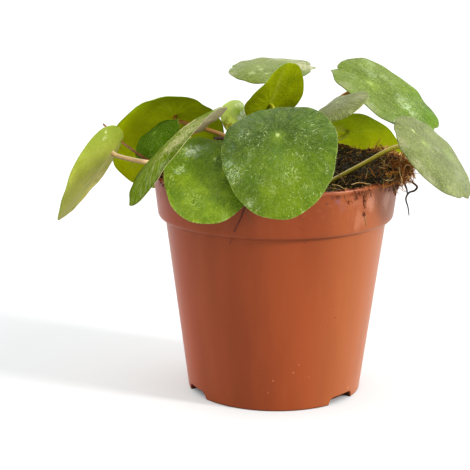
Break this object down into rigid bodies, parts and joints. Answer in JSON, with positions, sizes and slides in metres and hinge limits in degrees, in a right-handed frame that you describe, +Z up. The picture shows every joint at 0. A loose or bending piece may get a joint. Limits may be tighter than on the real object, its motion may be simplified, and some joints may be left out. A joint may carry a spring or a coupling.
{
  "type": "potted pilea plant",
  "caption": "Small round-leaved houseplant with stalked disc leaves on a short stem, rooted in potting mix in a round nursery pot.",
  "frame": {"origin": "middle of the base of the whole part's bounding box, at the height the pot stands on", "axes": "+Z up along the pot's axis, -Y towards the viewer of the picture, +X to its right"},
  "size_m": [0.1966, 0.1482, 0.1622],
  "materials": {
    "pot_plastic": "satin",
    "mix": "rough",
    "bark": "rough",
    "leaf": "semi-gloss"
  },
  "bodies": {
    "root": {"pot": "pot_plastic", "potting_mix": "mix", "stem": "bark", "dry_stalk": "bark", "leaf_far_left": "leaf", "leaf_back_left": "leaf", "leaf_inner_left": "leaf", "leaf_left": "leaf", "leaf_front_left": "leaf", "leaf_front": "leaf", "leaf_centre_upright": "leaf", "leaf_back_top": "leaf", "leaf_young": "leaf", "leaf_right": "leaf", "leaf_far_right": "leaf", "leaf_inner_right": "leaf", "leaf_back_right": "leaf"}
  },
  "joints": []
}
